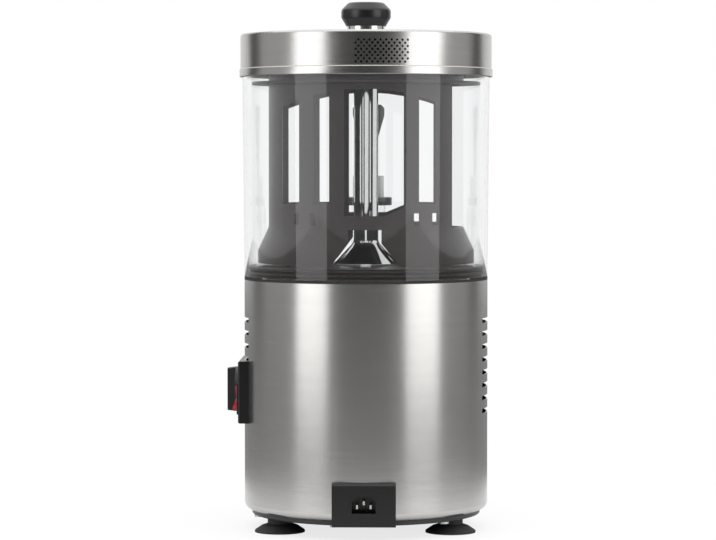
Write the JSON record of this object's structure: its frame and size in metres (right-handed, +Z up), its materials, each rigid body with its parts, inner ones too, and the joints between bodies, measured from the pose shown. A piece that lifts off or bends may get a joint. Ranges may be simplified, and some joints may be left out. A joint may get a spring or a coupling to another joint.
{
  "type": "hot chocolate dispenser",
  "caption": "Countertop hot chocolate dispenser: steel heating base, clear bowl with rotating paddle and lever tap, lift-off lid, drip tray, side controls and rear mains inlet.",
  "frame": {"origin": "centre of the machine's box at table level", "axes": "+Z up, -Y towards the tap and the user, +X towards the control side"},
  "size_m": [0.2846, 0.39, 0.56],
  "materials": {
    "brushed_steel": "fine horizontal brushing",
    "polished_steel": "mirror polish",
    "collar_metal": "satin",
    "black_plastic": "fine grain",
    "inlet_black": "half gloss",
    "brown_plastic": "smooth, half matt",
    "tray_plastic": "fine grain",
    "lever_plastic": "half gloss",
    "clear_plastic": "clear",
    "pale_plastic": "smooth",
    "rubber": "matt",
    "silicone": "smooth",
    "red_lens": "clear red, lit from inside",
    "steel": "zinc plated or plain",
    "cast_aluminium": "cast",
    "motor_paint": "black enamel",
    "thermostat_metal": "plain",
    "copper": "plain copper",
    "pin_metal": "nickel plated"
  },
  "bodies": {
    "base": {"foot_front": "rubber", "foot_rear_left": "rubber", "foot_rear_right": "rubber", "foot_studs": "steel", "foot_nuts": "steel", "base_pan": "black_plastic", "base_screws": "steel", "steel_shell": "brushed_steel", "shell_gasket": "rubber", "floor_pan": "brushed_steel", "column": "polished_steel", "lower_bush": "pale_plastic", "upper_bush": "pale_plastic", "bowl_seal": "brown_plastic", "heat_spreader": "cast_aluminium", "heating_element": "steel", "element_clamp": "steel", "clamp_screws": "steel", "safety_cutout": "thermostat_metal", "motor": "motor_paint", "gearbox": "cast_aluminium", "motor_bracket": "steel", "motor_screws": "steel", "control_bezel": "black_plastic", "bezel_screws": "steel", "thermostat": "thermostat_metal", "thermostat_bulb": "copper", "rocker_housing": "black_plastic", "inlet_box": "inlet_black", "inlet_socket": "black_plastic", "inlet_pins": "pin_metal", "terminal_block": "black_plastic", "tray_hanger": "brushed_steel", "shell_screws": "steel"},
    "agitator": {"output_shaft": "steel", "shaft_coupling": "steel", "coupling_screws": "steel", "drive_shaft": "steel", "paddle": "brown_plastic", "paddle_nut": "black_plastic"},
    "bowl": {"bowl": "clear_plastic", "tap_body": "clear_plastic", "tap_bonnet": "pale_plastic", "lever_pin": "steel", "tap_ring_nut": "black_plastic", "tap_spring": "steel"},
    "piston": {"tap_piston": "pale_plastic", "piston_pin": "steel", "tap_cup_seal": "silicone", "piston_o_ring": "silicone"},
    "lever": {"tap_lever": "lever_plastic"},
    "lid": {"lid_shell": "brushed_steel", "lid_collar": "collar_metal", "lid_knob": "black_plastic", "lid_screw": "steel"},
    "dial": {"thermostat_knob": "black_plastic", "thermostat_spindle": "steel"},
    "rocker": {"rocker_button": "red_lens"},
    "tray": {"drip_tray": "tray_plastic"},
    "grid": {"drip_grid": "brushed_steel"}
  },
  "joints": [
    {"name": "agitator_spin", "type": "hinge", "parent": "base", "child": "agitator", "pos_m": [-0.00725, 0.06, 0.3], "axis": [0, 0, 1], "continuous": true},
    {"name": "bowl_lift", "type": "slide", "parent": "base", "child": "bowl", "axis": [0, 0, 1], "range_m": [0, 0.25]},
    {"name": "lid_lift", "type": "slide", "parent": "bowl", "child": "lid", "axis": [0, 0, 1], "range_m": [0, 0.12]},
    {"name": "lever_pull", "type": "hinge", "parent": "bowl", "child": "lever", "pos_m": [-0.00725, -0.112, 0.368], "axis": [1, 0, 0], "range_deg": [0, 35], "stiffness_Nm_per_rad": 0.2, "springref_deg": -17.19},
    {"name": "piston_lift", "type": "slide", "parent": "bowl", "child": "piston", "axis": [0, 0, 1], "range_m": [0, 0.0085], "deforming": ["tap_spring"]},
    {"name": "dial_turn", "type": "hinge", "parent": "base", "child": "dial", "pos_m": [0.12775, 0.044, 0.1455], "axis": [1, 0, 0], "range_deg": [0, 270]},
    {"name": "rocker_press", "type": "hinge", "parent": "base", "child": "rocker", "pos_m": [0.12375, 0.0825, 0.1385], "axis": [0, 1, 0], "range_deg": [0, 14]},
    {"name": "tray_slide", "type": "slide", "parent": "base", "child": "tray", "axis": [0, -1, 0], "range_m": [0, 0.11]},
    {"name": "grid_lift", "type": "slide", "parent": "tray", "child": "grid", "axis": [0, 0, 1], "range_m": [0, 0.06]}
  ],
  "couplings": [
    {"joint": "piston_lift", "follows": "lever_pull", "m_per_rad": 0.0133}
  ]
}
